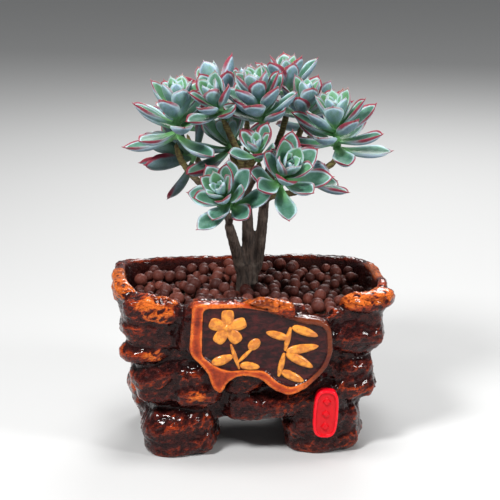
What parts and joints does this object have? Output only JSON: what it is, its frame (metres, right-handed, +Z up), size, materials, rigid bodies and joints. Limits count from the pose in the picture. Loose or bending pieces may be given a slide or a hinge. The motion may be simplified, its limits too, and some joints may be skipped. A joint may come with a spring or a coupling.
{
  "type": "potted tree-form echeveria",
  "caption": "Miniature tree of a branching rosette succulent with red-edged leaves, in a footed rock-work glazed pot dressed with clay granules.",
  "frame": {"origin": "on the surface that the pot's feet stand on, under the middle of the whole object's bounding box", "axes": "+Z up, +X to the right of the pot's decorated front, -Y out of the decorated front"},
  "size_m": [0.1724, 0.1468, 0.2379],
  "materials": {
    "glaze": "gloss",
    "mesh_plastic": "matte",
    "growing_mix": "matte",
    "fired_clay": "matte",
    "bark": "matte",
    "leaf": "satin"
  },
  "bodies": {
    "root": {"pot": "glaze", "drainage_mesh": "mesh_plastic", "growing_mix": "growing_mix", "clay_granules": "fired_clay", "stem": "bark", "rosette_front_right": "leaf", "rosette_front_left": "leaf", "rosette_front_upper": "leaf", "rosette_right": "leaf", "rosette_left": "leaf", "rosette_top": "leaf", "rosette_upper_left": "leaf", "rosette_top_back": "leaf", "rosette_upper_right": "leaf", "rosette_heart": "leaf", "rosette_left_lower": "leaf", "rosette_right_lower": "leaf", "rosette_back_upper": "leaf", "rosette_back_left": "leaf", "rosette_back": "leaf", "rosette_back_right": "leaf"}
  },
  "joints": []
}
